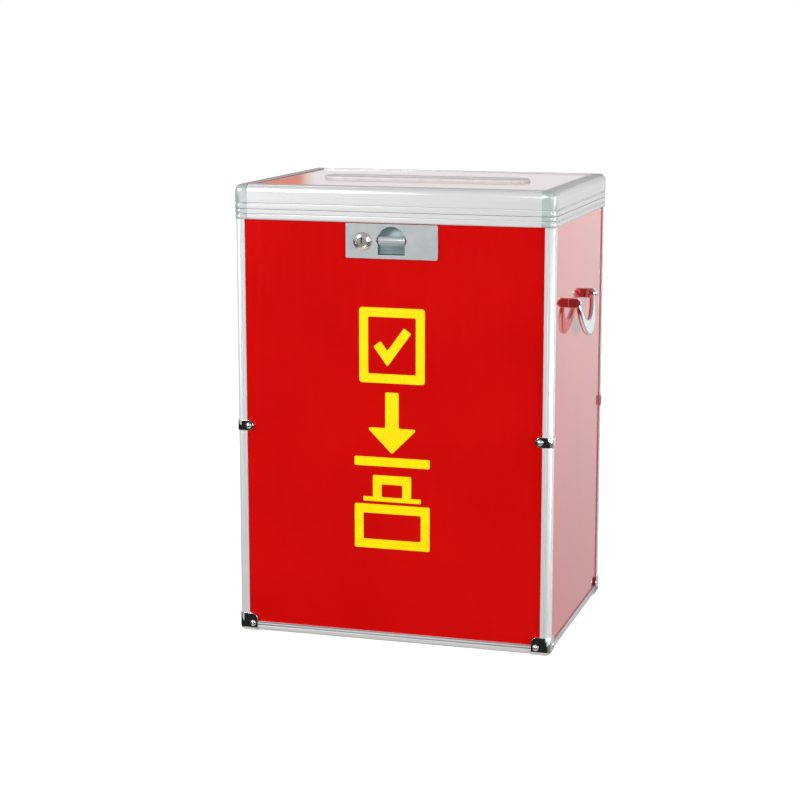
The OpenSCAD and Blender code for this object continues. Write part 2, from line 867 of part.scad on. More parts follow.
module lock_plate() {
    color(grey_plastic) translate([0, board_face_y, 0]) rotate([90, 0, 0]) linear_extrude(lock_t)
        difference() {
            translate([-lock_w / 2, lock_low]) difference() {
                square([lock_w, lock_h]);
                fillet_waste(lock_r);
                translate([lock_w, 0]) rotate(90) fillet_waste(lock_r);
                translate([lock_w, lock_h]) rotate(180) fillet_waste(lock_r);
                translate([0, lock_h]) rotate(-90) fillet_waste(lock_r);
            }
            window_plan();
            translate([-key_x, key_z]) circle(d = barrel_d);
        }
}

// Open cup behind the finger window, with bores for the axle in its side walls
module finger_cup() {
    color(grey_plastic) difference() {
        translate([-cup_outer, board_face_y, cup_low])
            cube([2 * cup_outer, cup_back - board_face_y, cup_top - cup_low]);
        translate([-cup_half, board_face_y - 1, cup_low + cup_wall])
            cube([2 * cup_half, cup_in + 1, cup_top - cup_low - 2 * cup_wall]);
        translate([-2 * cup_outer, bar_y, bar_z]) rotate([0, 90, 0])
            cylinder(d = axle_d + 2 * turn_play, h = 4 * cup_outer);
    }
}

// Axis of the lock cylinder, with z pointing out of the front and its zero on the board face
module at_key() {
    translate([-key_x, board_face_y, key_z]) rotate([90, 0, 0]) children();
}

module lock_cylinder() {
    color(chrome) at_key() difference() {
        union() {
            translate([0, 0, board_face_y - barrel_end]) cylinder(d = barrel_d, h = barrel_end - board_face_y + lock_t);
            translate([0, 0, lock_t]) cylinder(d = key_d, h = rosette_rim);
            translate([0, 0, lock_t + rosette_rim]) dome(key_d, rosette_dome);
        }
        // Ring groove that sets off the rim of the plug
        translate([0, 0, lock_t + rosette_rim + rosette_dome * 0.68]) rotate_extrude()
            translate([plug_d / 2 + 1.6, 0]) circle(rosette_line_r);
        translate([0, 0, -edge_leg - board_t]) cylinder(d = plug_d + 2 * turn_play, h = 40);
    }
}

module lock_nut() {
    color(steel) at_key() difference() {
        translate([0, 0, -nut_t]) rotate([0, 0, 30]) cylinder(d = nut_d, h = nut_t, $fn = 6);
        translate([0, 0, -nut_t - 1]) cylinder(d = barrel_d, h = nut_t + 2);
    }
}

module lock_plug() {
    tail = cam_t + cam_play + 0.4;
    reach = barrel_end - board_face_y;
    out = lock_t + rosette_rim + rosette_dome - 1.1;
    color(chrome) at_key() difference() {
        union() {
            translate([0, 0, -reach]) cylinder(d = plug_d, h = reach + out);
            translate([0, 0, -reach - tail]) cylinder(d = plug_tail_d, h = tail + 1);
        }
        translate([-key_slot_w / 2, -key_slot_h / 2, out - key_slot_in])
            cube([key_slot_w, key_slot_h, key_slot_in + 1]);
    }
}

module lock_cam() {
    color(steel) at_key() translate([0, 0, board_face_y - barrel_end - cam_play - cam_t])
        linear_extrude(cam_t) difference() {
            union() {
                circle(d = cam_hub_d);
                translate([-cam_w / 2, -cam_l]) square([cam_w, cam_l]);
            }
            circle(d = plug_tail_d);
        }
}

// Finger bar on its axle: slightly waisted, with pointed ends and the press flap below it
module latch_paddle() {
    flap_t = 2.4;
    flap_low = window_low + 1.3;
    flap_half = bar_l / 2 - 0.4;
    grip_step = (bar_z - bar_d / 2 - flap_low) / 3;
    waist = 0.5;
    waist_r = (bar_l * bar_l / 4 + waist * waist) / (2 * waist);
    color(pale_plastic) {
        translate([-bar_l / 2, bar_y, bar_z]) rotate([0, 90, 0]) rotate_extrude() difference() {
            square([bar_d / 2, bar_l]);
            translate([bar_d / 2 - waist + waist_r, bar_l / 2]) circle(waist_r, $fn = 256);
        }
        for (s = [left, right]) translate([s * bar_l / 2, bar_y, bar_z]) rotate([0, s * 90, 0])
            cylinder(r1 = bar_d / 2, r2 = bar_tip_r, h = bar_tip);
        translate([-axle_half, bar_y, bar_z]) rotate([0, 90, 0]) cylinder(d = axle_d, h = 2 * axle_half);
        difference() {
            translate([-flap_half, bar_y - flap_t, flap_low]) cube([2 * flap_half, flap_t, bar_z - flap_low]);
            for (i = [1, 2]) translate([-flap_half - 1, bar_y - flap_t, flap_low + i * grip_step])
                rotate([0, 90, 0]) cylinder(r = grip_r, h = 2 * flap_half + 2);
        }
    }
}

// Bent arms on the ends of the axle, each ending in a nose towards the strike
module latch_hooks() {
    color(steel) for (s = [left, right])
        translate([s > 0 ? hook_in : -hook_out, bar_y, bar_z]) along_x(hook_t) difference() {
            union() {
                circle(hook_hub_r);
                translate([0, -hook_hub_r + 1]) square([hook_reach - 0.6, 2 * hook_hub_r - 2]);
                translate([hook_reach - 0.6 - hook_stem, 0]) square([hook_stem, hook_up]);
                translate([hook_reach - 1.6, hook_up - 4]) square([1.6, 4]);
            }
            circle(d = axle_d);
        }
}

// Places children at the four handle screws of both sides, z pointing out from the side board's face
module handle_screw_places() {
    for (turn = [0, 180], e = [-0.5, 0.5], rise = [-screw_rise, screw_rise])
        rotate([0, 0, turn]) translate([side_face, (turn == 0 ? 1 : -1) * handle_y + e * ear_span, handle_z + rise])
            rotate([0, 90, 0]) children();
}

module handle_screws() {
    color(steel) handle_screw_places() {
        translate([0, 0, -board_t]) cylinder(d = screw_d, h = board_t + screw_in);
        translate([0, 0, -board_t - screw_head_h]) cylinder(d = screw_head_d, h = screw_head_h);
    }
}

// Handle parts are drawn for the right side; the left one is their mirror image
module at_handle(side) {
    mirror([side == left ? 1 : 0, 0, 0]) translate([0, handle_y, handle_z]) children();
}

// Ear in side view: a foot on the board and a bevelled nose round the pivot
module ear_outline() {
    bevel = ear_h * 0.4;
    polygon([
        [0, -ear_h / 2], [ear_out + ear_round - bevel, -ear_h / 2], [ear_out + ear_round, -ear_h * 0.1],
        [ear_out + ear_round, ear_h * 0.1], [ear_out + ear_round - bevel, ear_h / 2], [0, ear_h / 2]
    ]);
}

module handle_ears(side) {
    color(chrome) difference() {
        at_handle(side) for (e = [-0.5, 0.5]) translate([side_face, e * ear_span - ear_w / 2, 0])
            along_y(ear_w) ear_outline();
        at_handle(side) translate([pivot_x, -ear_span, 0]) rotate([-90, 0, 0])
            cylinder(d = bail_pin_d + 2 * turn_play, h = 2 * ear_span);
        handle_screw_places() cylinder(d = screw_d, h = screw_in);
    }
}

// Bail seen from the side: crescent between two circles, hubs at the pivots
module bail_outline() {
    difference() {
        intersection() {
            translate([0, -dip_c(bail_half, bail_drop)]) circle(dip_r(bail_half, bail_drop), $fn = 180);
            translate([-box_d, -box_d]) square([2 * box_d, box_d]);
        }
        translate([0, -dip_c(bail_inner, bail_drop_in)]) circle(dip_r(bail_inner, bail_drop_in), $fn = 180);
    }
}

module bail(side) {
    color(chrome) at_handle(side) translate([pivot_x, 0, 0]) rotate([0, -bail_lean, 0]) {
        translate([-bail_t / 2, 0, 0]) along_x(bail_t) bail_outline();
        for (e = [left, right]) translate([0, e > 0 ? bail_inner : -bail_half, 0]) rotate([-90, 0, 0])
            cylinder(r = bail_hub_r, h = bail_leg);
        for (e = [left, right]) translate([0, e > 0 ? bail_half - 1 : -bail_half - bail_gap - pin_reach, 0])
            rotate([-90, 0, 0]) cylinder(d = bail_pin_d, h = bail_gap + pin_reach + 1);
    }
}

front_panel();
back_panel();
side_panel(at_left);  // left_panel
side_panel(at_right);  // right_panel
bottom_panel();
post(left, front);  // post_front_left
post(right, front);  // post_front_right
post(left, back);  // post_back_left
post(right, back);  // post_back_right
bottom_rail(at_front, half_w, half_d);  // bottom_rail_front
bottom_rail(at_right, half_d, half_w);  // bottom_rail_right
bottom_rail(at_back, half_w, half_d);  // bottom_rail_back
bottom_rail(at_left, half_d, half_w);  // bottom_rail_left
bottom_cap(left, front);  // bottom_cap_front_left
bottom_cap(right, front);  // bottom_cap_front_right
bottom_cap(left, back);  // bottom_cap_back_left
bottom_cap(right, back);  // bottom_cap_back_right
mid_clip(left, front);  // mid_clip_front_left
mid_clip(right, front);  // mid_clip_front_right
mid_clip(left, back);  // mid_clip_back_left
mid_clip(right, back);  // mid_clip_back_right
corner_rivets();
rim_rail(at_front, face_y, face_x);  // rim_front
rim_rail(at_right, face_x, face_y);  // rim_right
rim_back();
rim_rail(at_left, face_x, face_y);  // rim_left
rim_corner(left, front);  // rim_corner_front_left
rim_corner(right, front);  // rim_corner_front_right
rim_corner(left, back);  // rim_corner_back_left
rim_corner(right, back);  // rim_corner_back_right
hinge_body_leaves();
hinge_pins();
body_hinge_rivets();
lock_plate();
finger_cup();
lock_cylinder();
lock_nut();
handle_ears(right);  // handle_ears_right
handle_ears(left);  // handle_ears_left
handle_screws();
lid_rail_front();
lid_rail(at_right, face_x, face_y);  // lid_rail_right
lid_rail_back();
lid_rail(at_left, face_x, face_y);  // lid_rail_left
lid_corner(left, front);  // lid_corner_front_left
lid_corner(right, front);  // lid_corner_front_right
lid_corner(left, back);  // lid_corner_back_left
lid_corner(right, back);  // lid_corner_back_right
lid_panel();
slot_surround();
slot_clamp_ring();
hinge_lid_leaves();
lid_strike();
lid_rivets();
lock_plug();
lock_cam();
latch_paddle();
latch_hooks();
bail(right);  // bail_right
bail(left);  // bail_left
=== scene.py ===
import json
import math
import bpy
import bmesh
from mathutils import Matrix, Vector


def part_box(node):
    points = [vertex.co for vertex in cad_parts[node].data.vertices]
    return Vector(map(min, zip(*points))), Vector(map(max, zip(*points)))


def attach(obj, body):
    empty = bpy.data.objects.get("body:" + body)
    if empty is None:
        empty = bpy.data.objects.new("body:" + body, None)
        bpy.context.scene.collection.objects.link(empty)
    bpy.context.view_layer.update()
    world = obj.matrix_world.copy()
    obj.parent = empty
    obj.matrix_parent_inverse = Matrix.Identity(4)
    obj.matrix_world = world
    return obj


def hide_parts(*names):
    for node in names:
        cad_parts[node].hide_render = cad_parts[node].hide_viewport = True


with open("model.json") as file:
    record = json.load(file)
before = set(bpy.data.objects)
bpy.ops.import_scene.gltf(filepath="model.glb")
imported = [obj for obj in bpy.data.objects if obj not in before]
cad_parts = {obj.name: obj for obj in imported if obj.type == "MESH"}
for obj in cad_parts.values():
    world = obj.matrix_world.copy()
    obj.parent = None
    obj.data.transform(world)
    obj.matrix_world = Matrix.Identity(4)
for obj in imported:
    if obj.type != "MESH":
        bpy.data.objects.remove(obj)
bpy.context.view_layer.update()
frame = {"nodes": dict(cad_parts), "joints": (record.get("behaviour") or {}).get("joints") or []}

nodes = frame["nodes"]
scene = bpy.context.scene
mm = 0.001
print("frame loaded,", len(nodes), "nodes")


# Materials

noiseSpan = (0.3, 0.7)  # where most values of a noise texture lie
noiseRoughness = 0.55


def addNode(tree, kind, settings, inputs):
    node = tree.nodes.new(kind)
    for key, value in settings.items():
        setattr(node, key, value)
    for key, value in inputs.items():
        if isinstance(value, bpy.types.NodeSocket):
            tree.links.new(value, node.inputs[key])
        else:
            node.inputs[key].default_value = value
    return node


def startMaterial(name, fixed):
    mat = bpy.data.materials.new(name)
    mat.use_nodes = True
    tree = mat.node_tree
    tree.nodes.clear()
    shader = addNode(tree, "ShaderNodeBsdfPrincipled", {}, fixed)
    addNode(tree, "ShaderNodeOutputMaterial", {}, {"Surface": shader.outputs["BSDF"]})
    place = addNode(tree, "ShaderNodeTexCoord", {}, {}).outputs["Object"]
    return mat, tree, shader, place


def calculated(tree, operation, first, second=0.0):
    return addNode(tree, "ShaderNodeMath", {"operation": operation}, {0: first, 1: second}).outputs[0]


def stretched(tree, place, scale):
    return addNode(tree, "ShaderNodeMapping", {}, {"Vector": place, "Scale": scale}).outputs["Vector"]


def noise(tree, vector, scale, detail=3.0):
    return addNode(tree, "ShaderNodeTexNoise", {}, {
        "Vector": vector, "Scale": scale, "Detail": detail, "Roughness": noiseRoughness,
    }).outputs["Fac"]


def ranged(tree, value, low, high, span=noiseSpan):
    return addNode(tree, "ShaderNodeMapRange", {}, {
        "Value": value, "From Min": span[0], "From Max": span[1], "To Min": low, "To Max": high,
    }).outputs["Result"]


def mixed(tree, factor, first, second):
    return addNode(tree, "ShaderNodeMix", {"data_type": "FLOAT"}, {
        "Factor": factor, "A": first, "B": second,
    }).outputs["Result"]


def mixedColours(tree, factor, first, second):
    return addNode(tree, "ShaderNodeMixRGB", {}, {0: factor, 1: first, 2: second}).outputs[0]


def between(tree, factor, first, second):
    ramp = addNode(tree, "ShaderNodeValToRGB", {}, {"Fac": factor})
    for element, colour, spot in zip(ramp.color_ramp.elements, (first, second), noiseSpan):
        element.color = (*colour, 1)
        element.position = spot
    return ramp.outputs["Color"]


def bumped(tree, shader, height, strength, depth):
    bump = addNode(tree, "ShaderNodeBump", {}, {"Height": height, "Strength": strength, "Distance": depth})
    tree.links.new(bump.outputs["Normal"], shader.inputs["Normal"])


board = {
    "deep": (0.53, 0.0014, 0.0013), "bright": (0.60, 0.0026, 0.0020), "clouds": 7.0,
    "gloss": (0.07, 0.16), "rub": (160, 160, 12), "coat": 1.0, "coatGloss": 0.03,
    "ior": 1.5, "specular": 0.5, "peel": 420.0, "peelStrength": 0.05, "peelDepth": 0.2 * mm,
}


def boardMaterial(name, look):
    mat, tree, shader, place = startMaterial(name, {
        "Coat Weight": look["coat"], "Coat Roughness": look["coatGloss"],
        "IOR": look["ior"], "Specular IOR Level": look["specular"],
    })
    clouds = noise(tree, place, look["clouds"])
    tree.links.new(between(tree, clouds, look["deep"], look["bright"]), shader.inputs["Base Color"])
    rub = noise(tree, stretched(tree, place, look["rub"]), 1.0, 4.0)
    tree.links.new(ranged(tree, rub, *look["gloss"]), shader.inputs["Roughness"])
    peel = noise(tree, place, look["peel"], 2.0)
    bumped(tree, shader, peel, look["peelStrength"], look["peelDepth"])
    return mat


profileAluminium = {
    "dull": (0.65, 0.655, 0.66), "clean": (0.74, 0.745, 0.75), "gloss": (0.28, 0.40), "metal": 0.25,
}
# darker copy of the profile aluminium for the rails along the depth: painted shade on the side faces
# turned away from the lights
shadedSideAluminium = {
    "dull": (0.54, 0.545, 0.545), "clean": (0.62, 0.625, 0.62), "gloss": (0.28, 0.40), "metal": 0.25,
}
drawLines = {"across": 1900.0, "along": 9.0, "broader": 8, "strength": 0.12, "depth": 0.1 * mm, "ior": 1.5}


# drawn metal whose lines follow one axis
def drawnMaterial(name, along, look):
    mat, tree, shader, place = startMaterial(name, {"Metallic": look["metal"], "IOR": drawLines["ior"]})
    fine = [drawLines["across"]] * 3
    fine[along] = drawLines["along"]
    coarse = [scale / drawLines["broader"] for scale in fine]
    lines = noise(tree, stretched(tree, place, fine), 1.0, 3.0)
    broad = noise(tree, stretched(tree, place, coarse), 1.0, 2.0)
    wear = calculated(tree, "MULTIPLY", lines, broad)
    tree.links.new(between(tree, wear, look["dull"], look["clean"]), shader.inputs["Base Color"])
    tree.links.new(ranged(tree, broad, *look["gloss"]), shader.inputs["Roughness"])
    bumped(tree, shader, lines, drawLines["strength"], drawLines["depth"])
    return mat


satin = {"clouds": 60.0, "cloudDetail": 4.0, "coatGloss": 0.15, "depth": 0.2 * mm, "ior": 1.48}


# satin surface; below the height "split" a second, darker look takes over as painted shade under a part
def mouldedMaterial(name, look):
    mat, tree, shader, place = startMaterial(name, {
        "Metallic": look["metal"], "IOR": satin["ior"],
        "Coat Weight": look["coat"], "Coat Roughness": satin["coatGloss"],
    })
    clouds = noise(tree, place, satin["clouds"], satin["cloudDetail"])
    colour = between(tree, clouds, look["dull"], look["clean"])
    if "lower" in look:
        height = addNode(tree, "ShaderNodeSeparateXYZ", {}, {"Vector": place}).outputs["Z"]
        # mask below the split height, where the darker look paints the shade
        under = calculated(tree, "LESS_THAN", height, look["split"])
        lower = between(tree, clouds, look["lower"]["dull"], look["lower"]["clean"])
        colour = mixedColours(tree, under, colour, lower)
    tree.links.new(colour, shader.inputs["Base Color"])
    grain = noise(tree, place, look["grain"])
    tree.links.new(ranged(tree, grain, *look["gloss"]), shader.inputs["Roughness"])
    bumped(tree, shader, grain, look["bump"], satin["depth"])
    return mat


cornerPlastic = {
    "dull": (0.43, 0.475, 0.475), "clean": (0.51, 0.56, 0.56), "gloss": (0.32, 0.42),
    "grain": 900.0, "bump": 0.06, "metal": 0.28, "coat": 0.3,
}
slotPlastic = {
    "dull": (0.55, 0.55, 0.545), "clean": (0.63, 0.63, 0.62), "gloss": (0.36, 0.46),
    "grain": 700.0, "bump": 0.05, "metal": 0.0, "coat": 0.25,
}
lockMetal = {
    "dull": (0.37, 0.395, 0.41), "clean": (0.44, 0.465, 0.475), "gloss": (0.30, 0.42),
    "grain": 1400.0, "bump": 0.10, "metal": 0.15, "coat": 0.0,
}
# inside of the finger cup behind the lock window: colour darkened as painted shade of the recess
shadedCupMetal = {
    "dull": (0.34, 0.44, 0.465), "clean": (0.44, 0.55, 0.575), "gloss": (0.35, 0.45),
    "grain": 1000.0, "bump": 0.10, "metal": 0.1, "coat": 0.0,
}
flapDrop = 11.2  # from the top of the latch bar down to its press flap
# latch bar and its press flap: the flap below the bar takes the darker look, painted shade of the bar and
# plate
latchMetal = {
    "dull": (0.38, 0.405, 0.415), "clean": (0.45, 0.475, 0.485), "gloss": (0.26, 0.36),
    "grain": 1200.0, "bump": 0.06, "metal": 0.2, "coat": 0.2,
    "lower": {"dull": (0.15, 0.205, 0.22), "clean": (0.23, 0.30, 0.31)},
    "split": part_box("latch_paddle")[1].z - flapDrop * mm,
}
satinChrome = {
    "dull": (0.72, 0.70, 0.68), "clean": (0.90, 0.89, 0.88), "gloss": (0.10, 0.18),
    "grain": 500.0, "bump": 0.04, "metal": 0.88, "coat": 0.0,
}
plugMetal = {
    "dull": (0.36, 0.35, 0.34), "clean": (0.47, 0.455, 0.44), "gloss": (0.24, 0.34),
    "grain": 900.0, "bump": 0.06, "metal": 0.75, "coat": 0.0,
}
steelFastener = {
    "dull": (0.55, 0.56, 0.57), "clean": (0.70, 0.71, 0.72), "gloss": (0.18, 0.34),
    "grain": 1800.0, "bump": 0.10, "metal": 1.0, "coat": 0.0,
}
chromePlate = {
    "dull": (0.74, 0.76, 0.78), "clean": (0.84, 0.86, 0.88), "gloss": (0.04, 0.11),
    "grain": 300.0, "bump": 0.03, "metal": 1.0, "coat": 0.0,
}
signVinyl = {
    "dull": (0.90, 0.66, 0.0), "clean": (0.96, 0.76, 0.002), "gloss": (0.22, 0.34),
    "grain": 500.0, "bump": 0.05, "metal": 0.0, "coat": 0.4,
}

redBoard = boardMaterial("red_board", board)
alongWidth = drawnMaterial("drawn_aluminium_x", 0, profileAluminium)
# rails along the depth take the darker copy, painted shade
alongDepthShaded = drawnMaterial("drawn_aluminium_y_shaded", 1, shadedSideAluminium)
alongHeight = drawnMaterial("drawn_aluminium_z", 2, profileAluminium)
greyCorner = mouldedMaterial("grey_corner_plastic", cornerPlastic)
paleSlot = mouldedMaterial("pale_slot_plastic", slotPlastic)
lockPlate = mouldedMaterial("lock_plate_metal", lockMetal)
cupPaintedShade = mouldedMaterial("cup_painted_shade", shadedCupMetal)
latchPale = mouldedMaterial("latch_metal", latchMetal)
rosetteChrome = mouldedMaterial("satin_chrome", satinChrome)
plugSatin = mouldedMaterial("plug_metal", plugMetal)
fastener = mouldedMaterial("fastener_steel", steelFastener)
chrome = mouldedMaterial("chrome_plate", chromePlate)
yellowVinyl = mouldedMaterial("yellow_vinyl", signVinyl)
print("materials made")


# CAD nodes: finish and softened edges

softEdge = {"profile": 0.45, "corner": 0.5, "sheet": 0.35, "segments": 2, "angle": 32, "weld": 0.002}


def softened(piece, width, segments, clamp=True):
    bevel = piece.modifiers.new("edge", "BEVEL")
    bevel.width = width * mm
    bevel.segments = segments
    bevel.limit_method = "ANGLE"
    bevel.angle_limit = math.radians(softEdge["angle"])
    bevel.use_clamp_overlap = clamp
    bevel.harden_normals = True


def dress(name, mat, edge=0.0):
    piece = nodes[name]
    piece.data.materials.clear()
    piece.data.materials.append(mat)
    if edge > 0:
        weld = piece.modifiers.new("weld", "WELD")
        weld.merge_threshold = softEdge["weld"] * mm
        softened(piece, edge, softEdge["segments"], clamp=False)


for name in ("front_panel", "back_panel", "left_panel", "right_panel", "bottom_panel", "lid_panel"):
    dress(name, redBoard)
for corner in ("front_left", "front_right", "back_left", "back_right"):
    dress("post_" + corner, alongHeight, softEdge["profile"])
    dress("bottom_cap_" + corner, chrome, softEdge["sheet"])
    dress("mid_clip_" + corner, chrome, softEdge["sheet"])
    dress("rim_corner_" + corner, greyCorner, softEdge["corner"])
    dress("lid_corner_" + corner, greyCorner, softEdge["corner"])
for side in ("front", "right", "back", "left"):
    metal = alongWidth if side in ("front", "back") else alongDepthShaded
    dress("bottom_rail_" + side, metal, softEdge["profile"])
    edge = 0.0 if side == "back" else softEdge["profile"]  # the hinge seats keep their sharp edges
    dress("rim_" + side, metal, edge)
    dress("lid_rail_" + side, metal, edge)
for name in (
    "corner_rivets", "body_hinge_rivets", "lid_rivets", "handle_screws", "hinge_pins",
    "hinge_body_leaves", "hinge_lid_leaves", "lid_strike", "lock_nut", "lock_cam", "latch_hooks",
):
    dress(name, fastener)
for side in ("left", "right"):
    dress("bail_" + side, chrome)
    dress("handle_ears_" + side, chrome)
dress("lock_cylinder", rosetteChrome)
dress("lock_plug", plugSatin)
dress("lock_plate", lockPlate)
dress("finger_cup", cupPaintedShade)
dress("latch_paddle", latchPale)
dress("slot_surround", paleSlot)
dress("slot_clamp_ring", greyCorner)
print("CAD nodes dressed")


# New pieces

def ownPiece(name, mesh, mat, body):
    piece = bpy.data.objects.new(name, mesh)
    scene.collection.objects.link(piece)
    mesh.materials.clear()
    mesh.materials.append(mat)
    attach(piece, body)
    return piece


def builtMesh(name, build):
    made = bmesh.new()
    build(made)
    mesh = bpy.data.meshes.new(name)
    made.to_mesh(mesh)
    made.free()
    return mesh


# plate cut from loops in its own plane, with rounded edges, put in place by a matrix
def plateMesh(name, loops, thick, edge, place):
    curve = bpy.data.curves.new(name, "CURVE")
    curve.dimensions = "2D"
    curve.fill_mode = "BOTH"
    curve.extrude = (thick / 2 - edge) * mm
    curve.bevel_depth = edge * mm
    curve.bevel_resolution = 2
    curve.offset = -edge * mm
    for loop in loops:
        spline = curve.splines.new("POLY")
        spline.points.add(len(loop) - 1)
        for point, spot in zip(spline.points, loop):
            point.co = (spot[0] * mm, spot[1] * mm, 0, 1)
        spline.use_cyclic_u = True
    flat = bpy.data.objects.new(name + "_outline", curve)
    scene.collection.objects.link(flat)
    bpy.context.view_layer.update()
    mesh = bpy.data.meshes.new_from_object(flat)
    bpy.data.objects.remove(flat)
    mesh.name = name
    mesh.transform(place)
    return mesh


# plates on the front stand upright: local y becomes the height
def upright(x, y, z):
    return Matrix.Translation((x, y, z)) @ Matrix.Rotation(math.pi / 2, 4, "X")


arcShare = 0.49  # of a side that one arc may take, so that two never meet


# a closed outline with its corners rounded by arcs
def roundedLoop(points, radius, steps=6):
    loop = []
    count = len(points)
    for i in range(count):
        before, here, after = (Vector(points[(i + k) % count]) for k in (-1, 0, 1))
        back, ahead = before - here, after - here
        most = min(back.length, ahead.length) * arcShare
        back.normalize()
        ahead.normalize()
        half = back.angle(ahead) / 2
        reach = min(radius / math.tan(half), most)
        fitted = reach * math.tan(half)
        centre = here + (back + ahead).normalized() * (fitted / math.sin(half))
        start, end = here + back * reach - centre, here + ahead * reach - centre
        turn = start.angle_signed(end)
        for k in range(steps + 1):
            loop.append(centre + Matrix.Rotation(-turn * k / steps, 2) @ start)
    return loop


def outlineBox(left, low, right, high, radius):
    return roundedLoop([(left, low), (right, low), (right, high), (left, high)], radius)


def ringLoop(x, y, radius, steps=40):
    turns = [2 * math.pi * i / steps for i in range(steps)]
    return [(x + radius * math.cos(t), y + radius * math.sin(t)) for t in turns]


# closed outline of a bent band
def thickLine(points, width, radius):
    spots = [Vector(point) for point in points]
    runs = [(b - a).normalized() for a, b in zip(spots, spots[1:])]
    leftSide, rightSide = [], []
    for i, here in enumerate(spots):
        before, after = runs[max(i - 1, 0)], runs[min(i, len(runs) - 1)]
        run = (before + after).normalized()
        side = Vector((-run.y, run.x))
        reach = width / 2 / side.dot(Vector((-before.y, before.x)))
        leftSide.append(here + side * reach)
        rightSide.append(here - side * reach)
    return roundedLoop(leftSide + rightSide[::-1], radius)


# three pictures one above the other: a slip with a tick, an arrow to a line, a box with a slot
sign = {
    "width": 102, "low": 127.6, "high": 445.8, "gap": 12, "thick": 0.18, "stroke": 12, "soften": 2.0,
    "boxTop": 10, "enteringHalf": 26, "enteringLow": 20, "mouthIn": 12, "mouthLow": 14, "mouthSoften": 1,
    "shaftHalf": 9, "headHalf": 34, "headTop": 2, "headTip": -32,
    "slip": 88, "slipSoften": 4, "tick": [(-20, 2), (-6, -17), (21, 20)], "tickSoften": 1.5,
}


def signPiece(name, loops, centreZ):
    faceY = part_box("front_panel")[0].y
    place = upright(0, faceY - sign["thick"] / 2 * mm, centreZ * mm)
    ownPiece(name, plateMesh(name, loops, sign["thick"], 0.0, place), yellowVinyl, "case")


def makeSign():
    tall = (sign["high"] - sign["low"] - 2 * sign["gap"]) / 3
    half, wide, stroke, soft = tall / 2, sign["width"] / 2, sign["stroke"], sign["soften"]
    low, middle, high = (sign["low"] + half + i * (tall + sign["gap"]) for i in range(3))
    # box with a slot
    top, mouth = sign["boxTop"], wide - sign["mouthIn"]
    box = [
        outlineBox(-wide, -half, wide, top, soft),
        outlineBox(-wide + stroke, -half + stroke, wide - stroke, top - stroke, soft),
        outlineBox(-mouth, sign["mouthLow"], mouth, sign["enteringLow"], sign["mouthSoften"]),
    ]
    signPiece("sign_box", box, low)
    # slip on its way in
    side, start = sign["enteringHalf"], sign["enteringLow"]
    entering = [
        outlineBox(-side, start, side, half, soft),
        outlineBox(-side + stroke, start, side - stroke, half - stroke, soft),
    ]
    signPiece("sign_box_slip", entering, low)
    # arrow down to a line
    shaft, head, neck = sign["shaftHalf"], sign["headHalf"], sign["headTop"]
    arrow = [
        (-shaft, half), (shaft, half), (shaft, neck), (head, neck),
        (0, sign["headTip"]), (-head, neck), (-shaft, neck),
    ]
    signPiece("sign_arrow", [roundedLoop(arrow, soft)], middle)
    signPiece("sign_arrow_line", [outlineBox(-wide, -half, wide, -half + stroke, soft)], middle)
    # slip with a tick
    slip = sign["slip"] / 2
    frameLoops = [
        outlineBox(-slip, -half, slip, half, sign["slipSoften"]),
        outlineBox(-slip + stroke, -half + stroke, slip - stroke, half - stroke, soft),
    ]
    signPiece("sign_slip", frameLoops, high)
    signPiece("sign_tick", [thickLine(sign["tick"], stroke, sign["tickSoften"])], high)


lockFace = {
    "round": 2.0, "edge": 0.5, "windowWide": 36.0, "windowHigh": 36.2, "windowUp": 5.0,
    "notch": 2.6, "notchHalf": 6.2, "barrel": 8.5, "archSteps": 24,
}


def makeLockPlate():
    low, high = (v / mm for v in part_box("lock_plate"))
    keyLow, keyHigh = (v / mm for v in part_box("lock_cylinder"))
    half, tall, thick = (high.x - low.x) / 2, high.z - low.z, high.y - low.y
    wide, bottom, notchHalf = lockFace["windowWide"] / 2, lockFace["windowUp"], lockFace["notchHalf"]
    barZ = bottom + lockFace["windowHigh"] - wide
    # window: up the right side past its notch, over the arch, down the left side
    start = math.asin(notchHalf / wide)
    steps = lockFace["archSteps"]
    turns = [start + (math.pi - 2 * start) * i / steps for i in range(steps + 1)]
    notch = [(wide, -notchHalf), (wide + lockFace["notch"], 0), (wide, notchHalf)]
    window = [(-wide, bottom), (wide, bottom)]
    window += [(x, barZ + z) for x, z in notch]
    window += [(wide * math.cos(t), barZ + wide * math.sin(t)) for t in turns]
    window += [(-x, barZ + z) for x, z in notch[::-1]]
    plate = outlineBox(-half, 0, half, tall, lockFace["round"])
    hole = ringLoop((keyLow.x + keyHigh.x) / 2, (keyLow.z + keyHigh.z) / 2 - low.z, lockFace["barrel"])
    place = upright(0, (low.y + high.y) / 2 * mm, low.z * mm)
    loops = [plate, window[::-1], hole[::-1]]
    mesh = plateMesh("lock_plate_face", loops, thick, lockFace["edge"], place)
    piece = ownPiece("lock_plate_face", mesh, lockPlate, "case")
    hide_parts("lock_plate")


ear = {"bevel": 5.2, "nose": 1.3, "edge": 0.9, "segments": 3, "wide": 8.0}


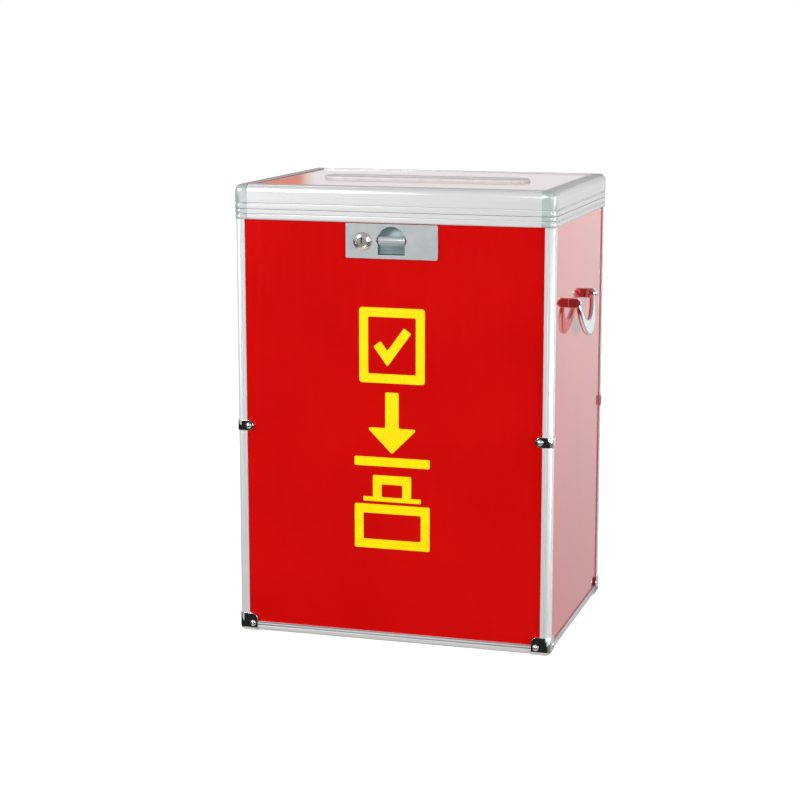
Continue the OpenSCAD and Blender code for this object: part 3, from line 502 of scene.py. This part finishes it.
# two bevelled ears of one side; the outline runs out from the board
def makeEars(side):
    low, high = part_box("handle_ears_" + side)
    out = 1 if side == "right" else -1
    root, reach = (low.x, high.x) if side == "right" else (high.x, low.x)
    rise, middle = (high.z - low.z) / 2, (low.z + high.z) / 2
    nose, wide = ear["nose"] * mm, ear["wide"] * mm
    shoulder = reach - out * ear["bevel"] * mm
    outline = [
        (root, -rise), (shoulder, -rise), (reach, -nose), (reach, nose), (shoulder, rise), (root, rise),
    ]

    def build(made):
        for y in (low.y, high.y - wide):
            near = [made.verts.new((x, y, middle + z)) for x, z in outline]
            far = [made.verts.new((x, y + wide, middle + z)) for x, z in outline]
            made.faces.new(near)
            made.faces.new(far[::-1])
            for i in range(len(outline)):
                k = (i + 1) % len(outline)
                made.faces.new((near[k], near[i], far[i], far[k]))
        bmesh.ops.recalc_face_normals(made, faces=made.faces)

    name = "ears_" + side
    piece = ownPiece(name, builtMesh(name, build), chrome, "case")
    softened(piece, ear["edge"], ear["segments"])
    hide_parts("handle_ears_" + side)


# round bar between two points, its ends chamfered
def turnedRod(made, start, end, radius, edge, steps=28):
    along = (end - start).normalized()
    first = along.orthogonal().normalized()
    second = along.cross(first)
    turns = [2 * math.pi * i / steps for i in range(steps)]
    spokes = [first * math.cos(t) + second * math.sin(t) for t in turns]
    stations = (
        (start, radius - edge), (start + along * edge, radius),
        (end - along * edge, radius), (end, radius - edge),
    )
    rings = [[made.verts.new(place + spoke * r) for spoke in spokes] for place, r in stations]
    for low, high in zip(rings, rings[1:]):
        for i in range(steps):
            k = (i + 1) % steps
            made.faces.new((low[i], low[k], high[k], high[i])).smooth = True
    made.faces.new(rings[0][::-1])
    made.faces.new(rings[-1])


# arc that hangs from two points on its level line and dips below it
def dipArc(half, dip, steps=48):
    radius = (dip + half * half / dip) / 2
    start = math.asin((dip - radius) / radius)
    turns = [math.pi - start + (math.pi + 2 * start) * i / steps for i in range(steps + 1)]
    return [(radius * math.cos(t), radius - dip + radius * math.sin(t)) for t in turns]


bail = {
    "half": 47.5, "inner": 42.0, "drop": 49.4, "middle": 20.0, "thick": 6.0, "edge": 2.3, "lean": 8.0,
    "hub": 4.5, "hubEdge": 1.0, "pin": 2.45, "pinEdge": 0.4, "pinRoot": 1.0, "pinReach": 6.9,
}


# crescent with rounded edges hanging from its pins
def makeBail(side, body, joint):
    pivot = Vector(next(j for j in frame["joints"] if j["name"] == joint)["pos_m"])
    out = 1 if side == "right" else -1
    outer = dipArc(bail["half"], bail["drop"])
    inner = dipArc(bail["inner"], bail["drop"] - bail["middle"])
    place = (
        Matrix.Translation(pivot)
        @ Matrix.Rotation(-out * math.radians(bail["lean"]), 4, "Y")
        @ Matrix.Rotation(math.pi / 2, 4, "Z")
        @ Matrix.Rotation(math.pi / 2, 4, "X")
    )
    name = "bail_bow_" + side
    mesh = plateMesh(name, [outer + inner[::-1]], bail["thick"], bail["edge"], place)
    piece = ownPiece(name, mesh, chrome, body)

    def rod(made, start, end, radius, edge):
        ends = [pivot + Vector((0, y * mm, 0)) for y in (start, end)]
        turnedRod(made, *ends, radius * mm, edge * mm)

    def build(made):
        for way in (-1, 1):
            end = way * bail["half"]
            rod(made, way * bail["inner"], end, bail["hub"], bail["hubEdge"])
            root, tip = end - way * bail["pinRoot"], end + way * bail["pinReach"]
            rod(made, root, tip, bail["pin"], bail["pinEdge"])

    name = "bail_hubs_" + side
    ownPiece(name, builtMesh(name, build), chrome, body)
    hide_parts("bail_" + side)


makeSign()
print("sign made")
makeLockPlate()
for side, body in (("left", "bail_l"), ("right", "bail_r")):
    makeEars(side)
    makeBail(side, body, f"bail_{side}_swing")
print("lock plate, handle ears and bails made")


# Floor, lights, camera

floorLook = {"tone": 0.80, "change": 0.02, "clouds": 3.0, "glow": 0.95, "size": 12.0, "low": -0.0002}


def makeFloor():
    def build(made):
        bmesh.ops.create_grid(made, x_segments=8, y_segments=8, size=floorLook["size"])

    floor = bpy.data.objects.new("floor", builtMesh("floor", build))
    scene.collection.objects.link(floor)
    mat, tree, shader, place = startMaterial("floor_pale", {
        "Roughness": 0.9, "Emission Strength": floorLook["glow"], "Emission Color": (1, 1, 1, 1),
    })
    clouds = noise(tree, place, floorLook["clouds"])
    dull, clean = [floorLook["tone"]] * 3, [floorLook["tone"] + floorLook["change"]] * 3
    tree.links.new(between(tree, clouds, dull, clean), shader.inputs["Base Color"])
    floor.data.materials.append(mat)
    floor.visible_glossy = False
    floor.visible_diffuse = False
    floor.location.z = floorLook["low"]


# white room: its levels, and the spans of direction over which one gives way to the next
sky = {
    "behindHigh": 0.96, "behindLow": 0.53, "behindFade": (-0.28, -0.07), "farSide": (0.35, 0.7),
    "lid": 0.87, "lidLeft": 0.77, "leftCard": (-0.332, -0.324), "aboveEye": (-0.02, 0.04),
    "dark": 0.02, "side": 0.22, "sideFrom": (0.55, 0.8),
    "sideHigh": 0.85, "lampsFrom": (0.42, 0.5), "lampsTo": (0.75, 0.9), "lampsAbove": (-0.13, -0.10),
    "front": 0.55, "frontAbove": (0.0, 0.12), "under": 0.75, "underBelow": (-0.75, -0.6),
    "top": 0.28, "topAbove": (0.2, 0.5),
    "underTint": (1.0, 0.88, 0.76), "leftTint": (1.0, 0.39, 0.30),
}


def makeWorld():
    world = bpy.data.worlds.new("studio")
    scene.world = world
    world.use_nodes = True
    tree = world.node_tree
    tree.nodes.clear()
    way = addNode(tree, "ShaderNodeTexCoord", {}, {}).outputs["Generated"]
    parts = addNode(tree, "ShaderNodeSeparateXYZ", {}, {"Vector": way})
    x, y, z = parts.outputs["X"], parts.outputs["Y"], parts.outputs["Z"]

    def rising(value, span):
        return ranged(tree, value, 0.0, 1.0, span)

    def falling(value, span):
        return ranged(tree, value, 1.0, 0.0, span)

    # behind the box, as the boards' flat reflections see it
    low = ranged(tree, z, sky["behindLow"], sky["behindHigh"], sky["behindFade"])
    leftCard = falling(x, sky["leftCard"])
    lid = mixed(tree, leftCard, sky["lid"], sky["lidLeft"])
    aboveEye = rising(z, sky["aboveEye"])
    behind = mixed(tree, aboveEye, low, lid)
    # before the box: a dark room between two strips of lamps
    low = mixed(tree, rising(x, sky["sideFrom"]), sky["dark"], sky["side"])
    sideways = calculated(tree, "ABSOLUTE", x)
    lamps = mixed(tree, rising(sideways, sky["lampsTo"]), sky["sideHigh"], sky["side"])
    strips = calculated(tree, "MULTIPLY", rising(sideways, sky["lampsFrom"]), rising(z, sky["lampsAbove"]))
    low = mixed(tree, strips, low, lamps)
    before = mixed(tree, rising(z, sky["frontAbove"]), low, sky["front"])
    beneath = falling(z, sky["underBelow"])
    before = mixed(tree, beneath, before, sky["under"])
    # whole room, plain white where the camera looks straight at it
    farSide = rising(y, sky["farSide"])
    level = mixed(tree, farSide, before, behind)
    level = mixed(tree, rising(z, sky["topAbove"]), level, sky["top"])
    seen = addNode(tree, "ShaderNodeLightPath", {}, {}).outputs["Is Camera Ray"]
    level = mixed(tree, seen, level, 1.0)
    card = calculated(tree, "MULTIPLY", calculated(tree, "MULTIPLY", leftCard, aboveEye), farSide)
    warm = calculated(tree, "ADD", calculated(tree, "MULTIPLY", beneath, 0.5), card)
    warm = calculated(tree, "MULTIPLY", warm, calculated(tree, "SUBTRACT", 1.0, seen))
    tint = addNode(tree, "ShaderNodeValToRGB", {}, {"Fac": warm})
    tint.color_ramp.elements.new(0.5)
    for element, colour in zip(tint.color_ramp.elements, ((1, 1, 1), sky["underTint"], sky["leftTint"])):
        element.color = (*colour, 1)
    shader = addNode(tree, "ShaderNodeBackground", {}, {"Color": tint.outputs["Color"], "Strength": level})
    addNode(tree, "ShaderNodeOutputWorld", {}, {"Surface": shader.outputs["Background"]})


lights = {
    "key_light": {"place": (-1.9, -2.9, 1.55), "aimHeight": 0.33, "size": 1.3, "power": 101.0},
    "front_light": {"place": (1.5, -3.1, 0.9), "aimHeight": 0.33, "size": 1.1, "power": 24.0},
    "side_light": {"place": (3.0, -0.6, 0.62), "aimHeight": 0.30, "size": 1.6, "power": 76.0},
}


def makeLights():
    for name, look in lights.items():
        light = bpy.data.lights.new(name, "AREA")
        light.shape = "DISK"
        light.size = look["size"]
        light.energy = look["power"]
        lamp = bpy.data.objects.new(name, light)
        scene.collection.objects.link(lamp)
        lamp.location = look["place"]
        aim = Vector((0, 0, look["aimHeight"])) - lamp.location
        lamp.rotation_euler = aim.to_track_quat("-Z", "Y").to_euler()


camera = {
    "place": (0.7456, -2.6229, 0.8051), "pitch": -10.544, "turn": 16.6135,
    "lens": 91.23, "sensor": 36,
}


def makeCamera():
    view = bpy.data.cameras.new("camera")
    view.lens = camera["lens"]
    view.sensor_width = camera["sensor"]
    eye = bpy.data.objects.new("camera", view)
    scene.collection.objects.link(eye)
    eye.location = camera["place"]
    eye.rotation_euler = (math.radians(90 + camera["pitch"]), 0, math.radians(camera["turn"]))
    scene.camera = eye


makeFloor()
makeWorld()
makeLights()
makeCamera()
scene.view_settings.view_transform = "Standard"
print("stage, lights and camera made")
